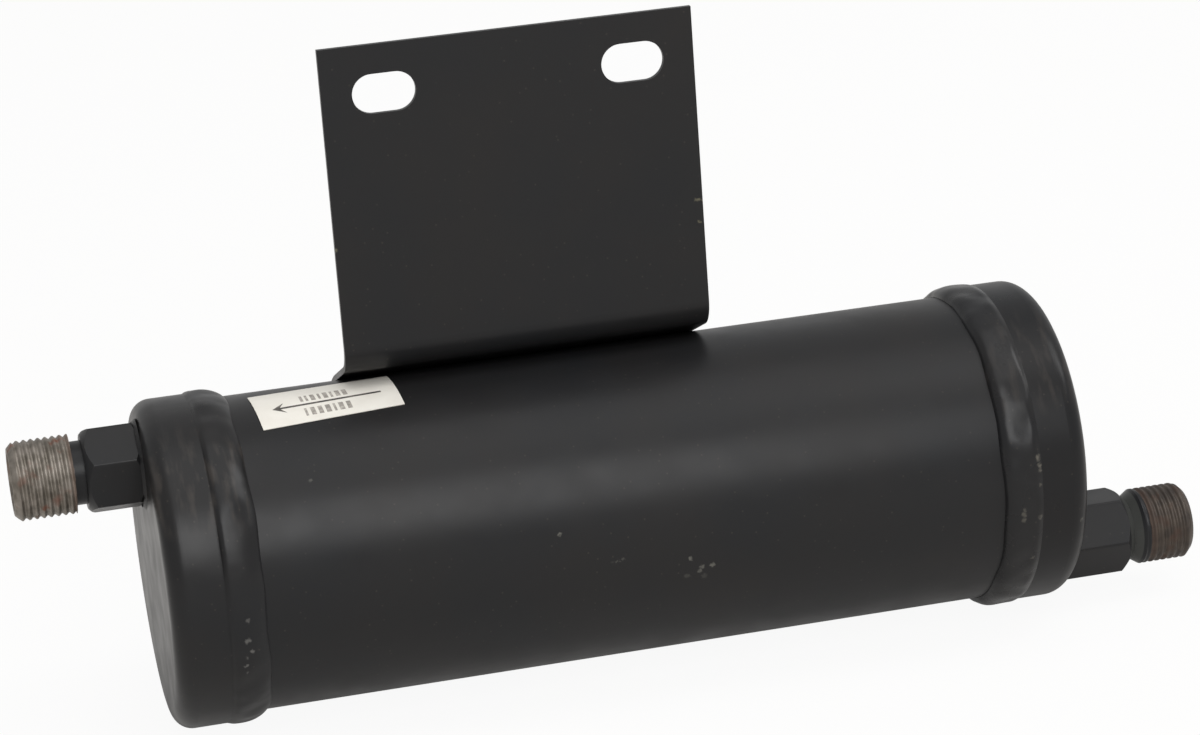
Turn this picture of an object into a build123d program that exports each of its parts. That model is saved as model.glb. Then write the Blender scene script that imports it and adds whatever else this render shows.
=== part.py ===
from build123d import *
import os
from math import cos, degrees, radians, sin

os.makedirs("parts", exist_ok=True)

# Receiver drier for a refrigeration circuit, in millimetres.
# The origin lies on the bracket's mounting face, midway between its two slots.
# X runs along the vessel, Y points out of the mounting face and Z is up.

# Vessel
tube_diameter = 63.5
tube_wall = 2.0
body_length = 187.5
cap_sheet = 1.5
cap_corner = 4.0
cap_skirt = 10.6
tube_end_gap = 0.3
fit_gap = 0.05

# Where the vessel hangs from the slots
body_shift = 13.9
body_drop = 91.5
body_depth = 3.3

# Bead that joins each cap's rim to the tube
seam_width = 8.0
seam_crown = 0.45
seam_root_step = 0.15
seam_crown_place = 1.0
seam_shoulder_place = 4.9

# Bracket, one folded sheet
bracket_width = 75.0
bracket_sheet = 1.2
bracket_bend = 6.4
slot_spacing = 50.0
slot_length = 12.7
slot_width = 7.9
slot_edge_margin = 9.8
foot_slope = 22.6
saddle_end_angle = 25.0
stitch_length = 18.0
stitch_spacing = 44.0
stitch_leg = 2.6
stitch_throat = 0.5

# Ports: each cap carries one hexagon union, off centre
port_inset = 9.75
outlet_angle = 92.6
inlet_angle = 248.3
hex_across_flats = 15.875
hex_base_chamfer = 1.3
thread_diameter = 15.875
end_chamfer = 1.2
spigot_diameter = 13.0
spigot_stickout = 1.0
bore_diameter = 7.0
pilot_diameter = 9.6
pilot_depth = 9.0
seal_mouth_diameter = 12.0
port_weld_leg = 0.65

# Outlet union
outlet_hex_length = 11.2
outlet_hex_chamfer = 1.7
outlet_hex_angle = 96.0
outlet_neck_length = 2.3
outlet_neck_diameter = 12.7
outlet_thread_length = 12.1

# Inlet union
inlet_hex_length = 13.5
inlet_hex_angle = 0.0
groove_diameter = 13.0
groove_hex_side = 2.6
groove_thread_side = 2.2
inlet_thread_length = 10.7

# Flow label
label_length = 28.7
label_width = 14.0
label_thickness = 0.15
label_margin = 4.6
label_angle = 99.3
label_tilt_angle = 3.8

# Filter and desiccant pack inside the vessel
pack_gap = 0.15
cup_depth = 32.0
cup_sheet = 0.8
cup_corner = 3.0
plate_thickness = 1.5
perforation_diameter = 4.5
perforation_pitch = 9.6
perforation_rings = 2
screen_thickness = 0.5
pad_thickness = 5.0
bed_length = 112.0

# Spring that keeps the pack tight, wide end on the plate
spring_wire_diameter = 2.4
spring_plate_diameter = 44.0
spring_cap_diameter = 26.0
spring_half_turns = 5

# Pickup tube in the outlet chamber
pickup_diameter = 8.0
pickup_wall = 1.0
pickup_socket_depth = 8.0
pickup_reach = 16.0
pickup_bend = 9.0
pickup_floor_gap = 4.5
braze_leg = 1.2

# Places worked out from the sizes
LEFT = -1
RIGHT = 1
tube_radius = tube_diameter / 2
tube_bore_radius = tube_radius - tube_wall
port_offset = tube_radius - port_inset
cap_radius = tube_radius + fit_gap + cap_sheet
thread_radius = thread_diameter / 2
hex_corner_radius = hex_across_flats / 2 / cos(radians(30))
axis_y = body_depth
axis_z = -body_drop
outlet_face_x = body_shift - body_length / 2
inlet_face_x = body_shift + body_length / 2
outlet_inner_x = outlet_face_x + cap_sheet
inlet_inner_x = inlet_face_x - cap_sheet
spigot_end = -cap_sheet - spigot_stickout
vessel_axis = Axis((0, axis_y, axis_z), (1, 0, 0))


def cross_plane(x):
    """Plane across the vessel at x: its own x is Y, its own y is Z."""
    return Plane(origin=(x, axis_y, axis_z), x_dir=(0, 1, 0), z_dir=(1, 0, 0))


def profile_plane(x, outward, across=0.0, up=0.0):
    """Plane along the vessel: its own x points outward along X, its own y is Z."""
    origin = (x, axis_y + across, axis_z + up)
    return Plane(origin=origin, x_dir=(outward, 0, 0), z_dir=(0, -outward, 0))


def port_place(angle):
    """Y and Z of a port's centre, from the vessel's axis."""
    return port_offset * cos(radians(angle)), port_offset * sin(radians(angle))


def port_axis(angle):
    """Axis of a port, along X."""
    across, up = port_place(angle)
    return Axis((0, axis_y + across, axis_z + up), (1, 0, 0))


def save(piece, name):
    """Label a finished piece and write it."""
    piece.part.label = name
    export_step(piece.part, "parts/" + name + ".step")


# Plain tube of the body, which ends just short of each cap's inner corner
tube_end_inset = cap_corner + tube_end_gap
with BuildPart() as shell_tube:
    with BuildSketch(cross_plane(outlet_face_x + tube_end_inset)):
        Circle(tube_radius)
        Circle(tube_bore_radius, mode=Mode.SUBTRACT)
    extrude(amount=body_length - 2 * tube_end_inset)
save(shell_tube, "shell_tube")


def make_cap(face_x, outward, angle):
    """Pressed cup over the tube's end, with one hole for its union."""
    with BuildPart() as cap:
        with BuildSketch(cross_plane(face_x)):
            Circle(cap_radius)
        extrude(amount=-outward * cap_skirt)
        faces_along = cap.faces().filter_by(Axis.X).sort_by(Axis.X, reverse=outward == RIGHT)
        fillet(faces_along[0].edges(), radius=cap_corner)
        offset(amount=-cap_sheet, openings=faces_along[-1])
        with BuildSketch(cross_plane(face_x)):
            with Locations(port_place(angle)):
                Circle(spigot_diameter / 2 + fit_gap)
        extrude(amount=-outward * 2 * cap_sheet, mode=Mode.SUBTRACT)
    return cap


save(make_cap(outlet_face_x, LEFT, outlet_angle), "outlet_cap")
save(make_cap(inlet_face_x, RIGHT, inlet_angle), "inlet_cap")


def make_seam(face_x, outward):
    """Weld bead round the tube, against the cap's rim."""
    rim_x = face_x - outward * cap_skirt
    root = (fit_gap, cap_radius - seam_root_step)
    crown = (seam_crown_place, cap_radius + seam_crown)
    shoulder = (seam_shoulder_place, cap_radius)
    toe = (seam_width, tube_radius + fit_gap)
    with BuildPart() as seam:
        with BuildSketch(profile_plane(rim_x, -outward)):
            with BuildLine():
                Spline(root, crown, shoulder, toe)
                Polyline(toe, (fit_gap, tube_radius + fit_gap), root)
            make_face()
        revolve(axis=vessel_axis)
    return seam


save(make_seam(outlet_face_x, LEFT), "outlet_cap_weld")
save(make_seam(inlet_face_x, RIGHT), "inlet_cap_weld")


def make_union(face_x, outward, angle, hex_end, hex_angle, turned):
    """Hexagon union: turned holds (distance from the cap's face, radius) past the hexagon's foot."""
    across, up = port_place(angle)
    profile = profile_plane(face_x, outward, across, up)
    total = turned[-1][0]
    mouth_depth = (seal_mouth_diameter - pilot_diameter) / 2
    with BuildPart() as union:
        with BuildSketch(profile):
            with BuildLine():
                Polyline(
                    (spigot_end, 0),
                    (spigot_end, spigot_diameter / 2),
                    (0, spigot_diameter / 2),
                    (0, hex_corner_radius - hex_base_chamfer),
                    (hex_base_chamfer, hex_corner_radius),
                    *turned,
                    (total, 0),
                    close=True,
                )
            make_face()
        revolve(axis=port_axis(angle))
        with BuildSketch(cross_plane(face_x)):
            with Locations((across, up)):
                Circle(hex_across_flats)
                RegularPolygon(
                    hex_across_flats / 2, 6, major_radius=False, rotation=hex_angle, mode=Mode.SUBTRACT
                )
        extrude(amount=outward * hex_end, mode=Mode.SUBTRACT)
        with BuildSketch(profile):
            with BuildLine():
                Polyline(
                    (spigot_end, 0),
                    (spigot_end, bore_diameter / 2),
                    (total - pilot_depth, bore_diameter / 2),
                    (total - pilot_depth, pilot_diameter / 2),
                    (total - mouth_depth, pilot_diameter / 2),
                    (total, seal_mouth_diameter / 2),
                    (total, 0),
                    close=True,
                )
            make_face()
        revolve(axis=port_axis(angle), mode=Mode.SUBTRACT)
    return union


# Outlet union: a plain neck between the hexagon and the thread, and a socket for the pickup tube
outlet_neck_end = outlet_hex_length + outlet_neck_length
outlet_total = outlet_neck_end + outlet_thread_length
outlet_turned = [
    (outlet_hex_length - outlet_hex_chamfer, hex_corner_radius),
    (outlet_hex_length, hex_corner_radius - outlet_hex_chamfer),
    (outlet_hex_length, outlet_neck_diameter / 2),
    (outlet_neck_end, outlet_neck_diameter / 2),
    (outlet_neck_end, thread_radius),
    (outlet_total - end_chamfer, thread_radius),
    (outlet_total, thread_radius - end_chamfer),
]
outlet_union = make_union(
    outlet_face_x, LEFT, outlet_angle, outlet_hex_length, outlet_hex_angle, outlet_turned
)
with BuildPart() as outlet_fitting:
    add(outlet_union.part)
    with BuildSketch(cross_plane(outlet_face_x - spigot_end)):
        with Locations(port_place(outlet_angle)):
            Circle(pickup_diameter / 2 + fit_gap)
    extrude(amount=-pickup_socket_depth, mode=Mode.SUBTRACT)
save(outlet_fitting, "outlet_fitting")

# Inlet union: a V groove between the hexagon and the thread
groove_place = inlet_hex_length + groove_hex_side
inlet_thread_start = groove_place + groove_thread_side
inlet_total = inlet_thread_start + inlet_thread_length
inlet_turned = [
    (inlet_hex_length, hex_corner_radius),
    (groove_place, groove_diameter / 2),
    (inlet_thread_start, thread_radius),
    (inlet_total - end_chamfer, thread_radius),
    (inlet_total, thread_radius - end_chamfer),
]
inlet_fitting = make_union(
    inlet_face_x, RIGHT, inlet_angle, groove_place, inlet_hex_angle, inlet_turned
)
save(inlet_fitting, "inlet_fitting")


def make_port_weld(face_x, outward, angle):
    """Fillet weld round the union's foot, in the corner under the hexagon's chamfer."""
    across, up = port_place(angle)
    foot_radius = hex_corner_radius - hex_base_chamfer + fit_gap
    with BuildPart() as weld:
        with BuildSketch(profile_plane(face_x, outward, across, up)):
            with BuildLine():
                Polyline(
                    (0, foot_radius),
                    (port_weld_leg, foot_radius + port_weld_leg),
                    (0, foot_radius + 2 * port_weld_leg),
                    close=True,
                )
            make_face()
        revolve(axis=port_axis(angle))
    return weld


save(make_port_weld(outlet_face_x, LEFT, outlet_angle), "outlet_fitting_weld")
save(make_port_weld(inlet_face_x, RIGHT, inlet_angle), "inlet_fitting_weld")

# Bracket: the plate hangs from its slots, bends back at its foot, touches the tube and wraps it
sheet_radius = tube_radius + fit_gap + bracket_sheet / 2
foot_angle = 90 - foot_slope
touch_y = axis_y + sheet_radius * cos(radians(foot_angle))
touch_z = axis_z + sheet_radius * sin(radians(foot_angle))
plate_y = -bracket_sheet / 2
knee_z = touch_z + (touch_y - plate_y) * sin(radians(foot_slope)) / cos(radians(foot_slope))
plate_top_z = slot_edge_margin
with BuildPart() as bracket:
    with BuildSketch(Plane.YZ):
        with BuildLine() as bracket_run:
            fold = FilletPolyline(
                (plate_y, plate_top_z),
                (plate_y, knee_z),
                (touch_y, touch_z),
                radius=bracket_bend - bracket_sheet / 2,
            )
            saddle = CenterArc(
                (axis_y, axis_z), sheet_radius, foot_angle, saddle_end_angle - foot_angle
            )
        trace(line_width=bracket_sheet)
    extrude(amount=bracket_width / 2, both=True)
    with BuildSketch(Plane.XZ):
        with GridLocations(slot_spacing, 1, 2, 1):
            SlotOverall(slot_length, slot_width)
    extrude(amount=bracket_sheet, mode=Mode.SUBTRACT)
save(bracket, "bracket")

# Stitch welds along the saddle's rear edge
end_angle = saddle_end_angle - degrees(fit_gap / tube_radius)
seat_radius = tube_radius + fit_gap
toe_angle = end_angle - degrees(stitch_leg / tube_radius)
middle_angle = (end_angle + toe_angle) / 2


def on_tube(radius, angle):
    """Y and Z of a point around the vessel's axis."""
    return radius * cos(radians(angle)), radius * sin(radians(angle))


def make_stitch(centre_x):
    """Short fillet bead between the saddle's edge and the tube."""
    with BuildPart() as stitch:
        with BuildSketch(cross_plane(centre_x)):
            with BuildLine():
                Line(on_tube(seat_radius, end_angle), on_tube(seat_radius + bracket_sheet, end_angle))
                ThreePointArc(
                    on_tube(seat_radius + bracket_sheet, end_angle),
                    on_tube(seat_radius + bracket_sheet / 2 + stitch_throat, middle_angle),
                    on_tube(seat_radius, toe_angle),
                )
                ThreePointArc(
                    on_tube(seat_radius, toe_angle),
                    on_tube(seat_radius, middle_angle),
                    on_tube(seat_radius, end_angle),
                )
            make_face()
        extrude(amount=stitch_length / 2, both=True)
    return stitch


save(make_stitch(-stitch_spacing / 2), "bracket_weld_left")
save(make_stitch(stitch_spacing / 2), "bracket_weld_right")

# Flow label: a thin patch bent round the tube, beside the outlet cap's bead
label_x = outlet_face_x + cap_skirt + seam_width + label_margin + label_length / 2
label_normal = (0, cos(radians(label_angle)), sin(radians(label_angle)))
label_plane = Plane(origin=(label_x, axis_y, axis_z), x_dir=(1, 0, 0), z_dir=label_normal)
with BuildPart() as flow_label:
    with BuildSketch(label_plane):
        Rectangle(label_length, label_width, rotation=label_tilt_angle)
    extrude(amount=tube_diameter)
    with BuildSketch(cross_plane(label_x)):
        Circle(seat_radius + label_thickness)
        Circle(seat_radius, mode=Mode.SUBTRACT)
    extrude(amount=label_length, both=True, mode=Mode.INTERSECT)
save(flow_label, "flow_label")

# Pack inside the vessel, from the outlet side: cup, screen, pad, bed, pad, screen, plate, spring
pack_radius = tube_bore_radius - pack_gap
cup_start = outlet_inner_x + tube_end_gap
cup_base = cup_start + cup_depth


def perforations():
    """Rings of holes round one in the middle, six more in each ring."""
    places = [(0, 0)]
    for ring in range(1, perforation_rings + 1):
        step = 360 / (6 * ring)
        places += [on_tube(ring * perforation_pitch, step * count) for count in range(6 * ring)]
    return places


with BuildPart() as outlet_cup:
    with BuildSketch(cross_plane(cup_start)):
        Circle(pack_radius)
    extrude(amount=cup_depth)
    cup_faces = outlet_cup.faces().filter_by(Axis.X).sort_by(Axis.X)
    fillet(cup_faces[-1].edges(), radius=cup_corner)
    offset(amount=-cup_sheet, openings=cup_faces[0])
    with BuildSketch(cross_plane(cup_base)):
        with Locations(*perforations()):
            Circle(perforation_diameter / 2)
    extrude(amount=-2 * cup_sheet, mode=Mode.SUBTRACT)
save(outlet_cup, "outlet_cup")


def make_disc(start_x, thickness):
    """Plain disc that fills the tube's bore."""
    with BuildPart() as disc:
        with BuildSketch(cross_plane(start_x)):
            Circle(pack_radius)
        extrude(amount=thickness)
    return disc


layers = [
    ("outlet_screen", screen_thickness),
    ("outlet_pad", pad_thickness),
    ("desiccant_bed", bed_length),
    ("inlet_pad", pad_thickness),
    ("inlet_screen", screen_thickness),
]
layer_x = cup_base
for layer_name, layer_thickness in layers:
    save(make_disc(layer_x, layer_thickness), layer_name)
    layer_x += layer_thickness

plate_x = layer_x
with BuildPart() as inlet_plate:
    with BuildSketch(cross_plane(plate_x)):
        Circle(pack_radius)
        with Locations(*perforations()):
            Circle(perforation_diameter / 2, mode=Mode.SUBTRACT)
    extrude(amount=plate_thickness)
save(inlet_plate, "inlet_plate")

# Conical spring between the plate and the inlet cap. Each half turn is an arc whose ends lie on
# opposite sides of the vessel's axis, so the arcs meet smoothly. The first and last lie flat.
spring_start_x = plate_x + plate_thickness + fit_gap + spring_wire_diameter / 2
spring_stop_x = inlet_inner_x - fit_gap - spring_wire_diameter / 2


def spring_stop(count):
    """Point where half turn number count begins."""
    climb = min(max(count - 1, 0), spring_half_turns - 2) / (spring_half_turns - 2)
    taper = (spring_plate_diameter - spring_cap_diameter) / spring_half_turns
    across = spring_plate_diameter - taper * count
    side = 1 if count % 2 == 0 else -1
    x = spring_start_x + (spring_stop_x - spring_start_x) * climb
    return Vector(x, axis_y + side * across / 2, axis_z)


with BuildPart() as inlet_spring:
    with BuildLine() as spring_path:
        for half_turn in range(spring_half_turns):
            arc_start = spring_stop(half_turn)
            arc_end = spring_stop(half_turn + 1)
            rise = (arc_end - arc_start).length / 2 * (1 if half_turn % 2 == 0 else -1)
            ThreePointArc(arc_start, (arc_start + arc_end) / 2 + Vector(0, 0, rise), arc_end)
    with BuildSketch(Plane(origin=spring_stop(0), z_dir=(0, 0, 1))):
        Circle(spring_wire_diameter / 2)
    sweep(path=spring_path.wires()[0])
save(inlet_spring, "inlet_spring")

# Pickup tube: from the outlet union's socket, over and down to the bottom of the chamber
out_across, out_up = port_place(outlet_angle)
pickup_plane = Plane(
    origin=(outlet_face_x, axis_y, axis_z),
    x_dir=(1, 0, 0),
    z_dir=(0, -sin(radians(outlet_angle)), cos(radians(outlet_angle))),
)
pickup_start = -spigot_end - pickup_socket_depth
pickup_turn = cap_sheet + pickup_reach
with BuildPart() as pickup_tube:
    with BuildLine(pickup_plane):
        pickup_path = FilletPolyline(
            (pickup_start, port_offset),
            (pickup_turn, port_offset),
            (pickup_turn, -tube_bore_radius + pickup_floor_gap),
            radius=pickup_bend,
        )
    with BuildSketch(Plane(origin=pickup_path @ 0, z_dir=pickup_path % 0)):
        Circle(pickup_diameter / 2)
        Circle(pickup_diameter / 2 - pickup_wall, mode=Mode.SUBTRACT)
    sweep(path=pickup_path)
save(pickup_tube, "pickup_tube")

# Ring of braze where the pickup tube enters its socket
braze_bore = pickup_diameter / 2 + fit_gap
with BuildPart() as pickup_tube_braze:
    with BuildSketch(profile_plane(outlet_face_x - spigot_end, RIGHT, out_across, out_up)):
        with BuildLine():
            Polyline(
                (0, braze_bore),
                (0, braze_bore + braze_leg),
                (braze_leg, braze_bore),
                close=True,
            )
        make_face()
    revolve(axis=port_axis(outlet_angle))
save(pickup_tube_braze, "pickup_tube_braze")
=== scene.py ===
import math

import bmesh
import bpy
import numpy as np
from mathutils import Matrix, Vector


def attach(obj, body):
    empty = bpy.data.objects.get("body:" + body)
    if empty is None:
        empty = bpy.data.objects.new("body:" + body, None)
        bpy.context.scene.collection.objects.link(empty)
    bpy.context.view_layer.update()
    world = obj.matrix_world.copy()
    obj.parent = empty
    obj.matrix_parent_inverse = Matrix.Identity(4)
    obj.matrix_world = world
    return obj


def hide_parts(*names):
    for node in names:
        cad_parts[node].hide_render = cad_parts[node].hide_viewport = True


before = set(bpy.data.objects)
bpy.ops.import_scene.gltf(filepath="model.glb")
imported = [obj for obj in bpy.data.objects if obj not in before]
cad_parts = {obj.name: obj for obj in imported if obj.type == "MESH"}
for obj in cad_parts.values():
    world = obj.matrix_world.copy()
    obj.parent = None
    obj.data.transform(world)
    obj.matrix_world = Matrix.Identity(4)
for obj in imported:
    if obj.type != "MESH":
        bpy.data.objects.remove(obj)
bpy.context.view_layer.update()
MM = 0.001

# Shell of the vessel
# A plain length of drawn steel tube, lying along X. The whole vessel is welded up first and then
# sprayed with one coat of satin black enamel, which knocks have chipped in a few places.
TUBE_RADIUS = 31.75
AXIS_Y = 3.3
AXIS_Z = -91.5


def linear(colour):
    """Linear RGBA of an sRGB hex colour. The low end of the curve is the value divided by 12.92, and
    the rest is a power of 2.4."""
    channels = np.array([int(colour[place:place + 2], 16) for place in (1, 3, 5)]) / 255
    curve = np.where(channels <= 0.04045, channels / 12.92, ((channels + 0.055) / 1.055) ** 2.4)
    return (*curve.tolist(), 1.0)


def add_node(tree, kind, inputs=None, **settings):
    """Adds a node. Settings are its own properties, and inputs the values or the outputs that its
    sockets take."""
    node = tree.nodes.new(kind)
    for name, value in settings.items():
        setattr(node, name, value)
    for name, value in (inputs or {}).items():
        if isinstance(value, bpy.types.NodeSocket):
            tree.links.new(value, node.inputs[name])
        else:
            node.inputs[name].default_value = value
    return node


def new_material(name):
    """An empty node material, with its tree, its output node and its Object coordinates."""
    material = bpy.data.materials.new(name)
    material.use_nodes = True
    tree = material.node_tree
    tree.nodes.clear()
    output = add_node(tree, "ShaderNodeOutputMaterial")
    place = add_node(tree, "ShaderNodeTexCoord").outputs["Object"]
    return material, tree, output, place


def per_mm(size):
    """Texture scale at which one feature is this many millimetres wide, on coordinates in metres."""
    return 1 / (size * MM)


def on_tube(x, angle):
    """Point in metres on the tube, from the vessel's axis. The angle runs from the back over the top."""
    turn = math.radians(angle)
    return x * MM, TUBE_RADIUS * math.cos(turn) * MM, TUBE_RADIUS * math.sin(turn) * MM


def vessel_place(tree, place):
    """Object coordinates from the vessel's axis, pushed straight in or out to the tube's own radius."""
    off_axis = add_node(tree, "ShaderNodeVectorMath", {
        0: place, 1: (0, AXIS_Y * MM, AXIS_Z * MM),
    }, operation="SUBTRACT").outputs[0]
    spoke = add_node(tree, "ShaderNodeVectorMath", {
        0: off_axis, 1: (0, 1, 1),
    }, operation="MULTIPLY").outputs[0]
    reach = add_node(tree, "ShaderNodeVectorMath", {0: spoke}, operation="LENGTH").outputs["Value"]
    stretch = add_node(tree, "ShaderNodeMath", {
        0: TUBE_RADIUS * MM, 1: reach,
    }, operation="DIVIDE").outputs[0]
    pushed = add_node(tree, "ShaderNodeVectorMath", {
        0: spoke, "Scale": stretch,
    }, operation="SCALE").outputs[0]
    along = add_node(tree, "ShaderNodeVectorMath", {
        0: off_axis, 1: (1, 0, 0),
    }, operation="MULTIPLY").outputs[0]
    return add_node(tree, "ShaderNodeVectorMath", {0: pushed, 1: along}, operation="ADD").outputs[0]


CHIP_GRAIN = 0.7
CHIP_SHAKE = 1.5
CHIP_EDGE = 1.2
CHIP_CORE = 0.5


def chip_mask(tree, place, chips):
    """How bare each point is: a chip's own share inside it and 0 outside, by the distance from the
    chip's middle, on a place shaken by fine noise so that its edge is jagged. Each chip is its middle
    in metres, its size in millimetres and its share."""
    shake = add_node(tree, "ShaderNodeTexNoise", {
        "Vector": place, "Scale": per_mm(CHIP_GRAIN), "Detail": 3.0,
    })
    shaken = add_node(tree, "ShaderNodeVectorMath", {
        0: shake.outputs["Color"], 1: (CHIP_SHAKE * MM,) * 3, 2: place,
    }, operation="MULTIPLY_ADD")
    mask = 0.0
    for middle, size, share in chips:
        aim = tuple(value + CHIP_SHAKE / 2 * MM for value in middle)
        reach = add_node(tree, "ShaderNodeVectorMath", {
            0: shaken.outputs[0], 1: aim,
        }, operation="DISTANCE")
        spot = add_node(tree, "ShaderNodeMapRange", {
            "Value": reach.outputs["Value"], "From Min": CHIP_EDGE * size * MM,
            "From Max": CHIP_CORE * size * MM, "To Max": share,
        })
        mask = add_node(tree, "ShaderNodeMath", {
            0: spot.outputs["Result"], 1: mask,
        }, operation="MAXIMUM").outputs[0]
    return mask


CLOUD_SIZE = 22
RUB_AND_HIGHLIGHT_WIDTH = 1.9
RUB_AND_HIGHLIGHT_LENGTH = 8.0
RUB_AND_HIGHLIGHT_HEIGHT = -68.0
RUB_AND_HIGHLIGHT_FULL = 4.0
RUB_AND_HIGHLIGHT_REACH = 9.0
RUB_AND_HIGHLIGHT_STARTS = 0.50
RUB_AND_HIGHLIGHT_COMPLETE = 0.68
DUST_SPACING = 2.2
DUST_EDGE = 0.12
DUST_CORE = 0.04
DUST_SHARE = 0.4
GLOSS_SIZE = 9
GLOSS_LOW = 0.3
GLOSS_HIGH = 0.7
PEEL_SIZE = 1.1
ENAMEL_IOR = 1.5


def black_enamel(
    tree, place, peel_depth, dents, cover=None, gloss=(0.31, 0.40), rubbed=0.0, shine=0.22,
):
    """Satin black enamel as a shader: cloudy colour, uneven gloss, orange peel over shallow dents, and
    settled dust. dents are their width and depth, and gloss is the roughness where it is smoothest and
    roughest. cover holds a mask and the colour that it lays over the enamel, as bare chips or a band of
    painted highlight. rubbed is how far the enamel is browned in a band below the top, partly
    wear and partly painted highlight, and shine is its specular level."""
    clouds = add_node(tree, "ShaderNodeTexNoise", {
        "Vector": place, "Scale": per_mm(CLOUD_SIZE), "Detail": 3.0,
    })
    tone = add_node(tree, "ShaderNodeMix", {
        "Factor": clouds.outputs["Fac"], "A": linear("#1a1c1f"), "B": linear("#22201f"),
    }, data_type="RGBA").outputs["Result"]
    # Brown patches are stretched round the vessel and painted only in a band below the top: partly wear
    # from rubbing, and partly painted highlight where the light falls on the upper front.
    round_it = add_node(tree, "ShaderNodeMapping", {
        "Vector": place, "Scale": (per_mm(RUB_AND_HIGHLIGHT_WIDTH), per_mm(RUB_AND_HIGHLIGHT_LENGTH), per_mm(RUB_AND_HIGHLIGHT_LENGTH)),
    })
    scuff_and_highlight_noise = add_node(tree, "ShaderNodeTexNoise", {
        "Vector": round_it.outputs[0], "Scale": 1.0, "Detail": 3.0,
    })
    height = add_node(tree, "ShaderNodeSeparateXYZ", {0: place}).outputs["Z"]
    above = add_node(tree, "ShaderNodeMath", {0: height, 1: RUB_AND_HIGHLIGHT_HEIGHT * MM}, operation="SUBTRACT")
    off_band = add_node(tree, "ShaderNodeMath", {0: above.outputs[0]}, operation="ABSOLUTE")
    rub_and_highlight_band = add_node(tree, "ShaderNodeMapRange", {
        "Value": off_band.outputs[0], "From Min": RUB_AND_HIGHLIGHT_REACH * MM, "From Max": RUB_AND_HIGHLIGHT_FULL * MM,
        "To Max": rubbed,
    })
    scuff_and_highlight_mask = add_node(tree, "ShaderNodeMapRange", {
        "Value": scuff_and_highlight_noise.outputs["Fac"], "From Min": RUB_AND_HIGHLIGHT_STARTS, "From Max": RUB_AND_HIGHLIGHT_COMPLETE,
        "To Max": rub_and_highlight_band.outputs["Result"],
    })
    # The brown laid on here is partly wear and partly painted highlight.
    tone = add_node(tree, "ShaderNodeMix", {
        "Factor": scuff_and_highlight_mask.outputs["Result"], "A": tone, "B": linear("#443f3b"),
    }, data_type="RGBA").outputs["Result"]
    # Real dust is finer than a pixel, so its grains are drawn 0.35 mm wide to show as a faint grain.
    grains = add_node(tree, "ShaderNodeTexVoronoi", {"Vector": place, "Scale": per_mm(DUST_SPACING)})
    dust = add_node(tree, "ShaderNodeMapRange", {
        "Value": grains.outputs["Distance"], "From Min": DUST_EDGE, "From Max": DUST_CORE,
        "To Max": DUST_SHARE,
    })
    colour = add_node(tree, "ShaderNodeMix", {
        "Factor": dust.outputs["Result"], "A": tone, "B": linear("#45413b"),
    }, data_type="RGBA").outputs["Result"]
    if cover:
        mask, cover_tone = cover
        colour = add_node(tree, "ShaderNodeMix", {
            "Factor": mask, "A": colour, "B": linear(cover_tone),
        }, data_type="RGBA").outputs["Result"]
    uneven = add_node(tree, "ShaderNodeTexNoise", {
        "Vector": place, "Scale": per_mm(GLOSS_SIZE), "Detail": 4.0,
    })
    rough = add_node(tree, "ShaderNodeMapRange", {
        "Value": uneven.outputs["Fac"], "From Min": GLOSS_LOW, "From Max": GLOSS_HIGH,
        "To Min": gloss[0], "To Max": gloss[1],
    })
    dent_size, dent_depth = dents
    hollow = add_node(tree, "ShaderNodeTexNoise", {
        "Vector": place, "Scale": per_mm(dent_size), "Detail": 1.0,
    })
    dented = add_node(tree, "ShaderNodeBump", {
        "Height": hollow.outputs["Fac"], "Distance": dent_depth * MM, "Strength": 1.0,
    })
    peel = add_node(tree, "ShaderNodeTexNoise", {
        "Vector": place, "Scale": per_mm(PEEL_SIZE), "Detail": 1.0,
    })
    skin = add_node(tree, "ShaderNodeBump", {
        "Height": peel.outputs["Fac"], "Distance": peel_depth * MM, "Strength": 1.0,
        "Normal": dented.outputs["Normal"],
    })
    return add_node(tree, "ShaderNodeBsdfPrincipled", {
        "Base Color": colour, "Roughness": rough.outputs["Result"], "IOR": ENAMEL_IOR,
        "Specular IOR Level": shine, "Normal": skin.outputs["Normal"],
    }).outputs["BSDF"]


def enamel_material(name, peel_depth, dents, chips=(), chip_tone="#575651", **finish):
    """Satin black enamel over steel. Each chip is its x, its angle round the vessel, its size and its
    share bare."""
    material, tree, output, place = new_material(name)
    bare = None
    if chips:
        spots = [(on_tube(x, angle), size, share) for x, angle, size, share in chips]
        bare = (chip_mask(tree, vessel_place(tree, place), spots), chip_tone)
    shader = black_enamel(tree, place, peel_depth, dents, bare, **finish)
    tree.links.new(shader, output.inputs["Surface"])
    return material


def finish_node(name, material):
    """Gives a CAD node its material and leaves its mesh alone."""
    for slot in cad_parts[name].material_slots:
        slot.material = material


shell_chips = [
    (23.4, 186.7, 0.50, 1.0), (25.8, 190.4, 0.56, 0.8), (25.4, 192.0, 0.50, 0.7),
    (28.0, 190.4, 0.54, 1.0), (22.7, 193.5, 0.60, 0.3), (26.2, 194.6, 0.60, 0.25),
    (9.9, 182.9, 0.26, 0.4), (9.1, 183.1, 0.30, 0.45), (8.3, 183.3, 0.32, 0.45),
    (7.5, 183.5, 0.26, 0.4), (-2.5, 170.0, 0.42, 0.9), (-49.4, 138.1, 0.40, 0.6),
]
tube_enamel = enamel_material(
    "satin_black_enamel_on_tube", peel_depth=0.003, dents=(14, 0.02), chips=shell_chips,
)
finish_node("shell_tube", tube_enamel)

# End caps
# Shallow cups pressed from 1.5 mm steel sheet, one over each end of the tube, with a rounded
# corner. They are pushed on and welded round the rim, under the same coat of enamel.
CAP_PEEL = 0.005
CAP_DENTS = (6, 0.05)
cap_chips = [(105.7, 194.1, 0.46, 0.7)]
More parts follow.
